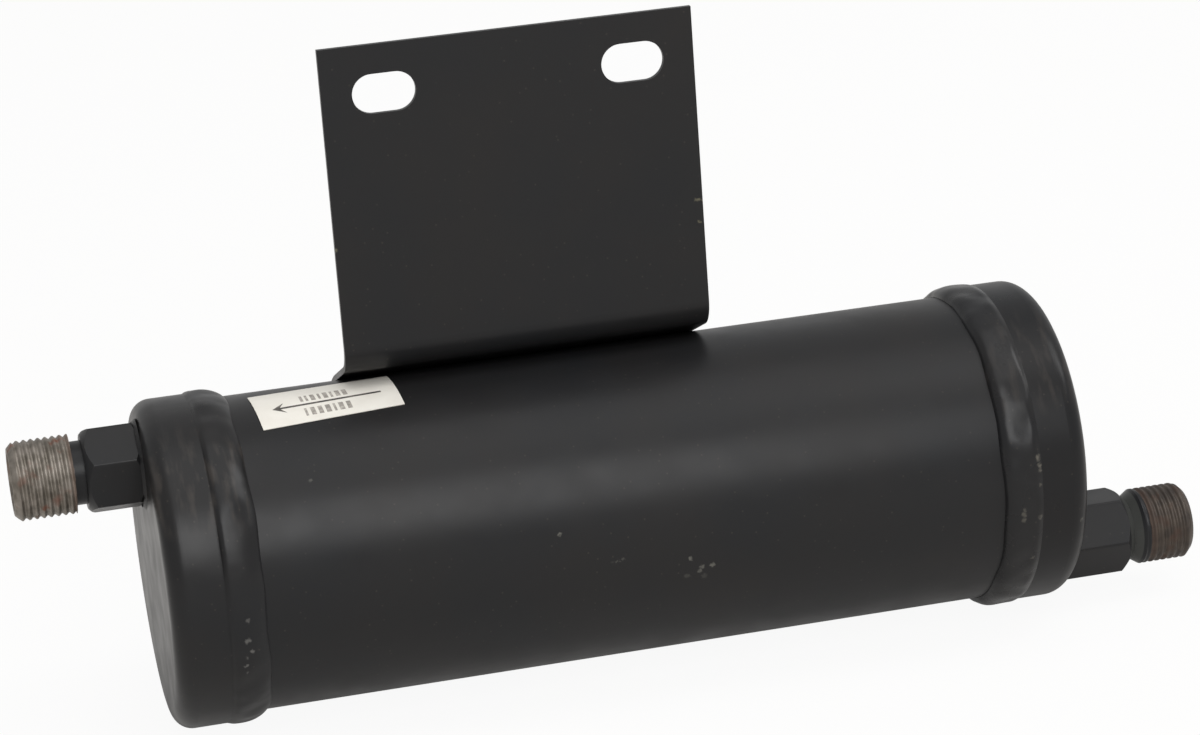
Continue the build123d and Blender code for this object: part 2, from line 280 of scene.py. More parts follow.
# Glossier than the tube, because the coat is thicker there. The outlet's end has more of the brown
# band below the top, which is partly wear and partly painted highlight.
outlet_cap_enamel = enamel_material(
    "satin_black_enamel_on_outlet_cap", CAP_PEEL, CAP_DENTS, gloss=(0.28, 0.38), rubbed=0.48,
)
inlet_cap_enamel = enamel_material(
    "satin_black_enamel_on_inlet_cap", CAP_PEEL, CAP_DENTS, cap_chips,
    gloss=(0.27, 0.36), rubbed=0.35, shine=0.16,
)
finish_node("outlet_cap", outlet_cap_enamel)
finish_node("inlet_cap", inlet_cap_enamel)

# Weld beads at the caps' rims
# One run of weld metal round the tube at each cap, laid while the vessel turned. The bead swells and
# sinks a little, and a shallow valley is left along the cap's rim, deepest towards the front.
BEAD_RIM_HEIGHT = 1.58
BEAD_CROWN_HEIGHT = 1.96
BEAD_SEAT = 0.05
BEAD_STEPS_ROUND = 721
BEAD_STEPS_ACROSS = 41
RIM_CROWDING = 1.3
MERGE_REACH = 0.0005
BEAD_WAVES = 14
FEWEST_WAVES = 4
MOST_WAVES = 36
WAVE_SLANT = 0.7
WAVE_SWELL = 0.06
VALLEY_PLACE = 0.25
VALLEY_WIDTH = 0.48
VALLEY_RIPPLE = 0.2
VALLEY_RIPPLES = 11
TOE_DRIFTS = ((0.15, 5), (0.12, 13))
BEAD_PEEL = 0.006
BEAD_DENTS = (4.5, 0.16)
BEAD_CREASE = 60


def surface(name, points):
    """Mesh of a grid of points in millimetres, rows by columns, with four-sided faces between
    neighbours. Points that fall together are merged, which closes rings and ends, and faces are
    turned outwards."""
    rows, columns = points.shape[:2]
    index = np.arange(rows * columns).reshape(rows, columns)
    corners = (index[:-1, :-1], index[:-1, 1:], index[1:, 1:], index[1:, :-1])
    faces = np.stack(corners, axis=-1).reshape(-1, 4)
    mesh = bpy.data.meshes.new(name)
    mesh.from_pydata((points.reshape(-1, 3) * MM).tolist(), [], faces.tolist())
    solid = bmesh.new()
    solid.from_mesh(mesh)
    bmesh.ops.remove_doubles(solid, verts=solid.verts, dist=MERGE_REACH * MM)
    bmesh.ops.recalc_face_normals(solid, faces=solid.faces)
    solid.to_mesh(mesh)
    solid.free()
    return mesh


def add_piece(mesh, material, crease, slot_name, *nodes):
    """Puts a mesh in the scene, smooth except where it bends by more than crease degrees."""
    piece = bpy.data.objects.new(mesh.name, mesh)
    bpy.context.scene.collection.objects.link(piece)
    mesh.materials.append(material)
    mesh.shade_smooth()
    mesh.set_sharp_from_angle(angle=math.radians(crease))
    if nodes:
        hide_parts(*nodes)
    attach(piece, "root")
    return piece


def weld_bead(
    name, rim_x, inward, seed, crown_place, bead_width, fullness, bluntness, valley_depth, valley_angle,
):
    """Ring of weld metal. Its height over the tube rises by a parabola from the rim to the crown and
    falls to the toe as (1 - part of the way ^ fullness) ^ bluntness, with a bell-shaped valley beside
    the rim. Seeded cosine waves, each a whole number of times round, swell and sink it, and two more
    move its toe. Its rows crowd towards the rim by a power. crown_place and bead_width are the crown's
    and the toe's distance from the rim, and valley_angle is where the valley is deepest."""
    rng = np.random.default_rng(seed)
    turn = np.linspace(0, 2 * np.pi, BEAD_STEPS_ROUND)[None, :]
    across = (np.linspace(0, 1, BEAD_STEPS_ACROSS) ** RIM_CROWDING * bead_width)[:, None]
    rim_drop = BEAD_CROWN_HEIGHT - BEAD_RIM_HEIGHT
    rise = BEAD_CROWN_HEIGHT - rim_drop * (1 - across / crown_place) ** 2
    down = np.clip((across - crown_place) / (bead_width - crown_place), 0, 1)
    fall = BEAD_CROWN_HEIGHT * (1 - down ** fullness) ** bluntness
    height = np.where(across < crown_place, rise, fall)
    waves = rng.integers(FEWEST_WAVES, MOST_WAVES, BEAD_WAVES)[:, None, None]
    slants = rng.uniform(-WAVE_SLANT, WAVE_SLANT, BEAD_WAVES)[:, None, None]
    starts = rng.uniform(0, 2 * np.pi, BEAD_WAVES)[:, None, None]
    ripples = WAVE_SWELL / np.sqrt(waves) * np.cos(waves * turn + slants * across + starts)
    swell = ripples.sum(axis=0) * np.clip(across / crown_place, 0, 1)
    open_side = 0.5 + 0.5 * np.cos(turn - math.radians(valley_angle))
    unevenness = 1 - VALLEY_RIPPLE + VALLEY_RIPPLE * np.cos(VALLEY_RIPPLES * turn + starts[2])
    valley = valley_depth * open_side ** 2 * unevenness
    dip = valley * np.exp(-((across - VALLEY_PLACE) / VALLEY_WIDTH) ** 2)
    drifts = [
        size * np.cos(count * turn + start) for (size, count), start in zip(TOE_DRIFTS, starts)
    ]
    station = across + sum(drifts) * (across / bead_width) ** 2
    radius = TUBE_RADIUS + BEAD_SEAT + height * (1 + swell) - dip
    seat = np.full_like(turn, TUBE_RADIUS + BEAD_SEAT)
    radius = np.vstack([seat, radius, seat])
    station = np.vstack([station[:1], station, station[:1]])
    points = np.stack([
        rim_x + inward * station,
        AXIS_Y + radius * np.cos(turn),
        AXIS_Z + radius * np.sin(turn),
    ], axis=-1)
    return surface(name, points)


outlet_bead_chips = [
    (-65.5, 183.1, 0.42, 0.6), (-65.8, 190.5, 0.60, 0.8), (-65.1, 194.8, 0.50, 0.9),
    (-66.1, 197.2, 0.32, 0.6), (-66.4, 200.4, 0.42, 0.8), (-66.3, 203.2, 0.32, 0.5),
]
inlet_bead_chips = [
    (96.3, 167.9, 0.66, 1.0), (96.6, 170.6, 0.60, 0.9), (96.7, 172.3, 0.44, 0.7),
    (96.4, 177.4, 0.42, 0.5), (92.9, 185.6, 0.46, 0.5), (92.7, 187.4, 0.60, 0.6),
    (92.8, 189.6, 0.56, 0.6), (96.4, 189.2, 0.52, 0.55), (95.4, 206.6, 0.50, 0.5),
]
outlet_bead_enamel = enamel_material(
    "satin_black_enamel_on_outlet_bead", BEAD_PEEL, BEAD_DENTS, outlet_bead_chips, "#5c5b59",
    gloss=(0.27, 0.38), rubbed=0.50,
)
inlet_bead_enamel = enamel_material(
    "satin_black_enamel_on_inlet_bead", BEAD_PEEL, BEAD_DENTS, inlet_bead_chips, "#58554e",
    gloss=(0.22, 0.32), rubbed=0.3,
)
outlet_bead = weld_bead(
    "outlet_bead", rim_x=-69.25, inward=1, seed=4, crown_place=2.0, bead_width=8.0,
    fullness=2.2, bluntness=0.75, valley_depth=0.50, valley_angle=148,
)
inlet_bead = weld_bead(
    "inlet_bead", rim_x=97.05, inward=-1, seed=9, crown_place=1.6, bead_width=7.7,
    fullness=4.5, bluntness=0.60, valley_depth=0.07, valley_angle=160,
)
add_piece(outlet_bead, outlet_bead_enamel, BEAD_CREASE, "black_paint", "outlet_cap_weld")
add_piece(inlet_bead, inlet_bead_enamel, BEAD_CREASE, "black_paint", "inlet_cap_weld")

# Unions
# Turned from hexagon steel bar: a hexagon for the spanner, a neck or a V groove, and a thread for
# a flare nut with a bore through it. The threads were capped during spraying, so they are bare.
PORT_OFFSET = 22.0
HEX_FLAT = 7.9375
HEX_CORNER = HEX_FLAT / math.cos(math.radians(30))
HEX_ROUNDING = 60
SECTOR_STEPS = 18
CORNER_CROWDING = 0.12
FOOT_RADIUS = HEX_CORNER - 1.3
SPIGOT_RADIUS = 6.5
SPIGOT_END = -2.5
THREAD_RADIUS = 7.9375
THREAD_PITCH = 25.4 / 18
THREAD_ROWS = 12
GROOVE_TOP = 0.80
GROOVE_SIDE = 0.66
END_CHAMFER = 1.2
MOUTH_RADIUS = 6.0
PILOT_RADIUS = 4.8
PILOT_DEPTH = 9.0
BORE_RADIUS = 3.5
UNION_CREASE = 38


def hexagon(turn, hex_turn):
    """Distance of a hexagon's edge at each angle, its corners eased: a high power mean of its flats."""
    flats = np.radians(hex_turn + 30 + 60 * np.arange(6))
    facing = np.clip(np.cos(turn[:, None] - flats[None, :]), 0, None)
    return HEX_FLAT / (facing ** HEX_ROUNDING).sum(axis=1) ** (1 / HEX_ROUNDING)


def thread_rings(start, end, outward, turn, fade, depth):
    """Rings of a right-hand thread, station and radius. Each row climbs one pitch per turn, held
    between start and end, so it follows the crests. The groove is a V with a flat crest and root that
    grows from nothing over the fade length, and a cone cuts the crests at the end."""
    count = int(math.ceil(((end - start) / THREAD_PITCH + 1) * THREAD_ROWS)) + 1
    row = np.arange(count)[:, None] / THREAD_ROWS
    lead = (turn - turn[0])[None, :] / (2 * np.pi)
    lead = lead if outward < 0 else 1 - lead
    station = np.clip(start + THREAD_PITCH * (row - lead), start, end)
    phase = ((station - start) / THREAD_PITCH + lead) % 1
    from_root = np.abs(phase - 0.5) * 2
    groove = np.clip((GROOVE_TOP - from_root) / GROOVE_SIDE, 0, 1)
    groove = groove * np.clip((station - start) / fade, 0, 1)
    radius = THREAD_RADIUS - depth * groove
    return list(zip(station, np.minimum(radius, THREAD_RADIUS - END_CHAMFER + end - station)))


def union(name, face_x, outward, port_angle, hex_turn, shoulder, thread, bore):
    """Union as rings along its axis, each a station from the cap's face and a radius: up its spigot,
    over the hexagon, the shoulder and the thread, and back down the bore. On the hexagon's rings,
    where its cones cut it, the station depends on the hexagon's own radius, which shoulder is given.
    Points crowd towards the hexagon's corners by a sine wave over each flat. thread is its start, end,
    fade and depth, and bore the rings from the pilot bore back to the spigot."""
    sector = np.linspace(0, 1, SECTOR_STEPS, endpoint=False)
    eased = sector - CORNER_CROWDING * np.sin(2 * np.pi * sector)
    turn = np.radians(hex_turn + 60 * np.append((np.arange(6)[:, None] + eased).ravel(), 6.0))
    edge = hexagon(turn, hex_turn)
    start, end, fade, depth = thread
    rings = [
        (SPIGOT_END, SPIGOT_RADIUS),
        (0.0, SPIGOT_RADIUS),
        (0.0, FOOT_RADIUS),
        (edge - FOOT_RADIUS, edge),
        *shoulder(edge),
        *thread_rings(start, end, outward, turn, fade, depth),
        (end, MOUTH_RADIUS),
        (end - (MOUTH_RADIUS - PILOT_RADIUS), PILOT_RADIUS),
        (end - PILOT_DEPTH, PILOT_RADIUS),
        (end - PILOT_DEPTH, BORE_RADIUS),
        *bore,
        (SPIGOT_END, SPIGOT_RADIUS),
    ]
    station = np.stack([np.broadcast_to(ring[0], turn.shape) for ring in rings])
    radius = np.stack([np.broadcast_to(ring[1], turn.shape) for ring in rings])
    port = math.radians(port_angle)
    points = np.stack([
        face_x + outward * station,
        AXIS_Y + PORT_OFFSET * math.cos(port) + radius * np.cos(turn),
        AXIS_Z + PORT_OFFSET * math.sin(port) + radius * np.sin(turn),
    ], axis=-1)
    return surface(name, points)


UNION_PEEL = 0.003
UNION_DENTS = (9, 0.01)
STAIN_SIZE = 2.4
STAIN_STARTS = 0.35
STAIN_COMPLETE = 0.65
RUST_SIZE = 3.5
RUST_STARTS = 0.62
RUST_COMPLETE = 0.80
RUST_SPREAD = 0.3
STEEL_ROUGHNESS = 0.50
RUST_ROUGHNESS = 0.85
RUST_METAL = 0.1
GRIT_SIZE = 0.35
GRIT_DEPTH = 0.012
ENAMEL_WANDER = 0.6
WANDER_SIZE = 2.0
ENAMEL_BLUR = 0.06


def union_material(
    name, enamel_end_x, outward, steels, rust, rust_share, spots, seep, metal, groove_light_band=None,
):
    """Bare turned steel on the thread and enamel on the rest. The enamel ends in an uneven line at
    enamel_end_x. The steel is dulled and stained, with rust in patches, in a few spots, and along the
    enamel's end, where seep gives how strong it is and how many millimetres it reaches. metal is how
    metallic the steel still looks, and groove_light_band the middle and half width of a lighter band
    on the enamel, a painted highlight that stands in for light on the groove's flank."""
    seep_share, seep_reach = seep
    material, tree, output, place = new_material(name)
    along = add_node(tree, "ShaderNodeSeparateXYZ", {0: place})
    dust = None
    # This band is painted highlight: a lighter grey on the V groove's flank that stands in for light
    # there.
    if groove_light_band:
        from_middle = add_node(tree, "ShaderNodeMath", {
            0: along.outputs["X"], 1: groove_light_band[0] * MM, 2: groove_light_band[1] * MM,
        }, operation="COMPARE")
        dust = (from_middle.outputs[0], "#393a38")
    enamel = black_enamel(tree, place, UNION_PEEL, UNION_DENTS, dust)
    stain = add_node(tree, "ShaderNodeTexNoise", {
        "Vector": place, "Scale": per_mm(STAIN_SIZE), "Detail": 5.0,
    })
    stained = add_node(tree, "ShaderNodeMapRange", {
        "Value": stain.outputs["Fac"], "From Min": STAIN_STARTS, "From Max": STAIN_COMPLETE,
    })
    steel = add_node(tree, "ShaderNodeMix", {
        "Factor": stained.outputs["Result"], "A": linear(steels[0]), "B": linear(steels[1]),
    }, data_type="RGBA")
    bloom = add_node(tree, "ShaderNodeTexNoise", {
        "Vector": place, "Scale": per_mm(RUST_SIZE), "Detail": 6.0,
    })
    patch = add_node(tree, "ShaderNodeMapRange", {
        "Value": bloom.outputs["Fac"], "From Min": RUST_STARTS - RUST_SPREAD * rust_share,
        "From Max": RUST_COMPLETE - RUST_SPREAD * rust_share,
    }).outputs["Result"]
    if spots:
        patch = add_node(tree, "ShaderNodeMath", {
            0: patch, 1: chip_mask(tree, place, spots),
        }, operation="MAXIMUM").outputs[0]
    past_end = add_node(tree, "ShaderNodeMath", {
        0: along.outputs["X"], 1: outward, 2: -outward * enamel_end_x * MM - ENAMEL_WANDER / 2 * MM,
    }, operation="MULTIPLY_ADD")
    crept = add_node(tree, "ShaderNodeMapRange", {
        "Value": past_end.outputs[0], "From Min": seep_reach * MM, "From Max": 0.0,
        "To Max": seep_share,
    })
    patch = add_node(tree, "ShaderNodeMath", {
        0: patch, 1: crept.outputs["Result"],
    }, operation="MAXIMUM").outputs[0]
    coated = add_node(tree, "ShaderNodeMix", {
        "Factor": patch, "A": steel.outputs["Result"], "B": linear(rust),
    }, data_type="RGBA")
    dull = add_node(tree, "ShaderNodeMapRange", {
        "Value": patch, "To Min": STEEL_ROUGHNESS, "To Max": RUST_ROUGHNESS,
    })
    shine = add_node(tree, "ShaderNodeMapRange", {
        "Value": patch, "To Min": metal, "To Max": RUST_METAL,
    })
    grit = add_node(tree, "ShaderNodeTexNoise", {
        "Vector": place, "Scale": per_mm(GRIT_SIZE), "Detail": 3.0,
    })
    pitted = add_node(tree, "ShaderNodeBump", {
        "Height": grit.outputs["Fac"], "Distance": GRIT_DEPTH * MM, "Strength": 1.0,
    })
    bare = add_node(tree, "ShaderNodeBsdfPrincipled", {
        "Base Color": coated.outputs["Result"], "Metallic": shine.outputs["Result"],
        "Roughness": dull.outputs["Result"], "Normal": pitted.outputs["Normal"],
    })
    wander = add_node(tree, "ShaderNodeTexNoise", {
        "Vector": place, "Scale": per_mm(WANDER_SIZE), "Detail": 3.0,
    })
    uneven = add_node(tree, "ShaderNodeMath", {
        0: wander.outputs["Fac"], 1: ENAMEL_WANDER * MM, 2: past_end.outputs[0],
    }, operation="MULTIPLY_ADD")
    mask = add_node(tree, "ShaderNodeMapRange", {
        "Value": uneven.outputs[0], "From Min": -ENAMEL_BLUR * MM, "From Max": ENAMEL_BLUR * MM,
    })
    both = add_node(tree, "ShaderNodeMixShader", {
        0: mask.outputs["Result"], 1: enamel, 2: bare.outputs["BSDF"],
    })
    tree.links.new(both.outputs[0], output.inputs["Surface"])
    return material


OUTLET_FACE_X = -79.85
OUTLET_HEX_LENGTH = 11.2
OUTLET_SHOULDER_RADIUS = HEX_CORNER - 1.7
OUTLET_NECK_END = 13.5
OUTLET_NECK_RADIUS = 6.35
OUTLET_BARE_NECK = 0.1
OUTLET_END = 25.6
OUTLET_THREAD_FADE = 0.1
OUTLET_THREAD_DEPTH = 0.45
SOCKET_RADIUS = 4.05
SOCKET_END = 5.5


def outlet_shoulder(edge):
    """Far end of the outlet's hexagon: a 45 degree cone, a flat shoulder and the plain neck."""
    return [
        (OUTLET_HEX_LENGTH - (edge - OUTLET_SHOULDER_RADIUS), edge),
        (OUTLET_HEX_LENGTH, OUTLET_SHOULDER_RADIUS),
        (OUTLET_HEX_LENGTH, OUTLET_NECK_RADIUS),
        (OUTLET_NECK_END, OUTLET_NECK_RADIUS),
    ]


outlet_union = union(
    "outlet_union", face_x=OUTLET_FACE_X, outward=-1, port_angle=92.6, hex_turn=96.0,
    shoulder=outlet_shoulder,
    thread=(OUTLET_NECK_END, OUTLET_END, OUTLET_THREAD_FADE, OUTLET_THREAD_DEPTH),
    bore=[(SOCKET_END, BORE_RADIUS), (SOCKET_END, SOCKET_RADIUS), (SPIGOT_END, SOCKET_RADIUS)],
)
# Mild steel, turned and since dulled: grey with a brown cast, and one rust spot low on its front.
rust_spots = [((-99.6 * MM, -4.4 * MM, -73.6 * MM), 0.8, 1.0)]
outlet_steel = union_material(
    "turned_mild_steel_dulled", OUTLET_FACE_X - OUTLET_NECK_END + OUTLET_BARE_NECK, outward=-1,
    steels=("#8f8880", "#69635a"), rust="#6a4636", rust_share=0.12, spots=rust_spots,
    seep=(0.35, 0.7), metal=0.70,
)
add_piece(outlet_union, outlet_steel, UNION_CREASE, "outlet_union_steel", "outlet_fitting")

INLET_FACE_X = 107.65
INLET_HEX_LENGTH = 13.5
GROOVE_PLACE = 16.1
GROOVE_RADIUS = 6.5
GROOVE_SLOPE = (HEX_CORNER - GROOVE_RADIUS) / (GROOVE_PLACE - INLET_HEX_LENGTH)
INLET_THREAD_START = 18.3
INLET_COATED_THREAD = 1.0
INLET_END = 29.0
INLET_THREAD_FADE = 0.8
INLET_THREAD_DEPTH = 0.36
GROOVE_LIGHT_SHIFT = 0.3
GROOVE_LIGHT_HALF_WIDTH = 1.5


def inlet_shoulder(edge):
    """Far end of the inlet's hexagon: one cone down to the bottom of the V groove."""
    return [
        (INLET_HEX_LENGTH + (HEX_CORNER - edge) / GROOVE_SLOPE, edge),
        (GROOVE_PLACE, GROOVE_RADIUS),
    ]


inlet_union = union(
    "inlet_union", face_x=INLET_FACE_X, outward=1, port_angle=248.3, hex_turn=0.0,
    shoulder=inlet_shoulder,
    thread=(INLET_THREAD_START, INLET_END, INLET_THREAD_FADE, INLET_THREAD_DEPTH),
    bore=[(SPIGOT_END, BORE_RADIUS)],
)
# The same steel after more weather: brown all over, and redder where the enamel stops.
# The lighter band on the V groove's flank is painted highlight.
groove_light_x = INLET_FACE_X + (INLET_HEX_LENGTH + INLET_THREAD_START) / 2 + GROOVE_LIGHT_SHIFT
inlet_steel = union_material(
    "turned_mild_steel_rusted", INLET_FACE_X + INLET_THREAD_START + INLET_COATED_THREAD, outward=1,
    steels=("#4a4139", "#362f2a"), rust="#453329", rust_share=0.20, spots=[],
    seep=(0.55, 1.7), metal=0.40, groove_light_band=(groove_light_x, GROOVE_LIGHT_HALF_WIDTH),
)
add_piece(inlet_union, inlet_steel, UNION_CREASE, "inlet_union_steel", "inlet_fitting")

# Fillet welds at the unions' feet
# A thin ring of weld metal in the corner between each hexagon and its cap, under the enamel.
port_enamel = enamel_material("satin_black_enamel_on_port_weld", peel_depth=0.012, dents=(2, 0.04))
finish_node("outlet_fitting_weld", port_enamel)
finish_node("inlet_fitting_weld", port_enamel)

# Bracket
# One sheet of 1.2 mm steel, blanked with two slots, folded back at its foot and rolled to sit on
# the tube. It carries the same enamel, knocked at the plate's side edges.
PLATE_FRONT_Y = -1.2
bracket_enamel, bracket_tree, bracket_output, bracket_place = new_material(
    "satin_black_enamel_on_bracket",
)
edge_knocks = [
    ((x * MM, PLATE_FRONT_Y * MM, z * MM), size, share)
    for x, z, size, share in (
        (36.0, -29.5, 0.30, 0.8), (36.7, -29.7, 0.38, 1.0), (37.4, -29.9, 0.34, 1.0),
        (36.6, -34.3, 0.34, 0.8), (-37.3, -30.5, 0.40, 1.0),
    )
]
bracket_skin = black_enamel(
    bracket_tree, bracket_place, peel_depth=0.003, dents=(25, 0.03),
    cover=(chip_mask(bracket_tree, bracket_place, edge_knocks), "#5a5748"),
)
bracket_tree.links.new(bracket_skin, bracket_output.inputs["Surface"])
finish_node("bracket", bracket_enamel)

# Stitch welds behind the bracket
# Two short fillet beads along the rolled end of the sheet, under the enamel.
stitch_enamel = enamel_material(
    "satin_black_enamel_on_stitch_welds", peel_depth=0.012, dents=(2, 0.08),
)
finish_node("bracket_weld_left", stitch_enamel)
finish_node("bracket_weld_right", stitch_enamel)

# Flow label
# A strip of off-white film stuck round the tube. A thin arrow printed on it points to the outlet,
# between two rows of plain marks.
LABEL_X = -42.3
LABEL_LENGTH = 28.7
LABEL_WIDTH = 14.0
LABEL_ANGLE = math.radians(99.3)
LABEL_TILT = math.radians(3.8)
LABEL_SEAT = 31.8
LABEL_THICKNESS = 0.14
LABEL_CREASE = 40
INK_THICKNESS = 0.012
STEPS_ALONG = 41
STEPS_ACROSS = 17
GRIME_SIZE = 4
CRINKLE_SIZE = 3
CRINKLE_DEPTH = 0.02
INK_WEAR_SIZE = 0.9
INK_WEAR_STARTS = 0.40
INK_WEAR_COMPLETE = 0.70


def on_label(along, across, lift):
    """Points of the label's flat cut, turned by its tilt and laid straight down on the tube."""
    x = along * math.cos(LABEL_TILT) - across * math.sin(LABEL_TILT)
    back = along * math.sin(LABEL_TILT) + across * math.cos(LABEL_TILT)
    angle = LABEL_ANGLE - np.arcsin(back / LABEL_SEAT)
    radius = LABEL_SEAT + lift
    points = [LABEL_X + x, AXIS_Y + radius * np.cos(angle), AXIS_Z + radius * np.sin(angle)]
    return np.stack(points, axis=-1)


def film_slab(name, along, across, low, high):
    """Closed thin slab over a grid of the flat cut. Each row runs over the face and back under it, and
    the two end rows are drawn together halfway down."""
    face = on_label(along, across, high)
    under = on_label(along, across, low)
    loop = np.concatenate([face, under[:, ::-1], face[:, :1]], axis=1)
    middle = (face[[0, -1]] + under[[0, -1]]) / 2
    ends = np.concatenate([middle, middle[:, ::-1], middle[:, :1]], axis=1)
    return surface(name, np.concatenate([ends[:1], loop, ends[1:]], axis=0))


def flat_cut(along, across):
    """Grid of a straight-edged cut between two stations along the label and two across it."""
    return np.meshgrid(
        np.linspace(*along, STEPS_ALONG), np.linspace(*across, STEPS_ACROSS), indexing="ij",
    )


def film_material():
    """White vinyl film with a gloss coat: a warm white, faint grime and a soft shine."""
    material, tree, output, place = new_material("white_vinyl_label_film")
    grime = add_node(tree, "ShaderNodeTexNoise", {
        "Vector": place, "Scale": per_mm(GRIME_SIZE), "Detail": 5.0,
    })
    tone = add_node(tree, "ShaderNodeMix", {
        "Factor": grime.outputs["Fac"], "A": linear("#ece9e1"), "B": linear("#dad5cb"),
    }, data_type="RGBA")
    crinkle = add_node(tree, "ShaderNodeTexNoise", {
        "Vector": place, "Scale": per_mm(CRINKLE_SIZE), "Detail": 2.0,
    })
    bump = add_node(tree, "ShaderNodeBump", {
        "Height": crinkle.outputs["Fac"], "Distance": CRINKLE_DEPTH * MM, "Strength": 1.0,
    })
    shader = add_node(tree, "ShaderNodeBsdfPrincipled", {
        "Base Color": tone.outputs["Result"], "Roughness": 0.45, "IOR": 1.46,
        "Normal": bump.outputs["Normal"],
    })
    tree.links.new(shader.outputs[0], output.inputs["Surface"])
    return material


def ink_material(name, fresh, worn):
    """Printing ink on film: flat, and worn to a paler tone in small patches."""
    material, tree, output, place = new_material(name)
    wear = add_node(tree, "ShaderNodeTexNoise", {
        "Vector": place, "Scale": per_mm(INK_WEAR_SIZE), "Detail": 4.0,
    })
    patch = add_node(tree, "ShaderNodeMapRange", {
        "Value": wear.outputs["Fac"], "From Min": INK_WEAR_STARTS, "From Max": INK_WEAR_COMPLETE,
    })
    tone = add_node(tree, "ShaderNodeMix", {
        "Factor": patch.outputs["Result"], "A": linear(fresh), "B": linear(worn),
    }, data_type="RGBA")
    shader = add_node(tree, "ShaderNodeBsdfPrincipled", {
        "Base Color": tone.outputs["Result"], "Roughness": 0.6,
    })
    tree.links.new(shader.outputs[0], output.inputs["Surface"])
    return material


film_cut = flat_cut((-LABEL_LENGTH / 2, LABEL_LENGTH / 2), (-LABEL_WIDTH / 2, LABEL_WIDTH / 2))
film = film_slab("flow_label_film", *film_cut, 0.0, LABEL_THICKNESS)
add_piece(film, film_material(), LABEL_CREASE, "label_film", "flow_label")

ARROW_TAIL = 11.05
ARROW_TIP = -11.1
ARROW_ACROSS = -1.05
ARROW_HEAD = 2.6
ARROW_BLUNT = 0.04
ARROW_NOTCH = 0.55
ARROW_HALF_HEAD = 1.9
ARROW_HALF_LINE = 0.32
HEAD_STEPS_ALONG = 9
HEAD_STEPS_ACROSS = 17
# The head is a fan from its tip to its back edge, which comes nearer to the tip in the middle.
head_depth = np.linspace(ARROW_BLUNT, 1, HEAD_STEPS_ALONG)[:, None]
head_width = np.linspace(-1, 1, HEAD_STEPS_ACROSS)[None, :]
head_swept = ARROW_NOTCH + (1 - ARROW_NOTCH) * np.abs(head_width)
head_along = ARROW_TIP + ARROW_HEAD * head_depth * head_swept
arrow_head = (head_along, ARROW_ACROSS + ARROW_HALF_HEAD * head_depth * head_width)
arrow_sides = (ARROW_ACROSS - ARROW_HALF_LINE, ARROW_ACROSS + ARROW_HALF_LINE)
arrow_line = flat_cut((ARROW_TIP + ARROW_HEAD / 2, ARROW_TAIL), arrow_sides)
arrow_ink = ink_material("black_printing_ink", "#3b3835", "#6d6861")
mark_ink = ink_material("black_printing_ink_faded", "#8a857e", "#bbb5ac")
MARK_HALF_HEIGHT = 1.3
# Each row's place across the label, with the start and end of each of its marks along it.
mark_spans = {
    1.45: (
        (-5.0, -4.4), (-3.9, -3.4), (-2.8, -1.9), (-1.3, -0.8),
        (-0.2, 0.7), (1.2, 1.7), (2.3, 3.2), (3.7, 4.6),
    ),
    -3.85: (
        (-5.1, -4.6), (-3.9, -3.0), (-2.4, -1.5), (-0.9, 0.1),
        (0.7, 1.2), (1.8, 2.8), (3.4, 4.3),
    ),
}
printed = [(arrow_head, arrow_ink), (arrow_line, arrow_ink)]
for middle, spans in mark_spans.items():
    sides = (middle - MARK_HALF_HEIGHT, middle + MARK_HALF_HEIGHT)
    printed += [(flat_cut(span, sides), mark_ink) for span in spans]
ink_top = LABEL_THICKNESS + INK_THICKNESS
for number, (cut, ink) in enumerate(printed):
    mark = film_slab("flow_print_%02d" % number, *cut, LABEL_THICKNESS, ink_top)
    add_piece(mark, ink, LABEL_CREASE, "label_film")

# Pack inside the vessel
# From the outlet: a pressed cup, a gauze, a felt pad, the bed of desiccant beads, a second pad and
# gauze, and a perforated plate that a conical spring presses on. All of it is hidden by the shell.


def bare_metal(name, light, dark, roughness, grain, depth):
    """Plain metal whose colour and surface vary along a grain: grain is its width and length in mm."""
    material, tree, output, place = new_material(name)
    width, length = grain
    stretched = add_node(tree, "ShaderNodeMapping", {
        "Vector": place, "Scale": (per_mm(length), per_mm(width), per_mm(width)),
    })
    streak = add_node(tree, "ShaderNodeTexNoise", {
        "Vector": stretched.outputs[0], "Scale": 1.0, "Detail": 4.0,
    })
    tone = add_node(tree, "ShaderNodeMix", {
        "Factor": streak.outputs["Fac"], "A": linear(light), "B": linear(dark),
    }, data_type="RGBA")
    bump = add_node(tree, "ShaderNodeBump", {
        "Height": streak.outputs["Fac"], "Distance": depth * MM, "Strength": 1.0,
    })
    shader = add_node(tree, "ShaderNodeBsdfPrincipled", {
        "Base Color": tone.outputs["Result"], "Metallic": 1.0, "Roughness": roughness,
        "Normal": bump.outputs["Normal"],
    })
    tree.links.new(shader.outputs[0], output.inputs["Surface"])
    return material


# Cold-rolled sheet, bright with faint rolling lines.
pressed_sheet = bare_metal(
    "pressed_cold_rolled_steel", "#b9b5ae", "#98948d", roughness=0.38, grain=(0.6, 6.0), depth=0.004,
)
finish_node("outlet_cup", pressed_sheet)
finish_node("inlet_plate", pressed_sheet)

# Hard-drawn wire, darker and smooth, with lines along its draw.
spring_wire = bare_metal(
    "hard_drawn_spring_wire", "#8f8c87", "#6c6964", roughness=0.32, grain=(0.3, 1.5), depth=0.003,
)
finish_node("inlet_spring", spring_wire)

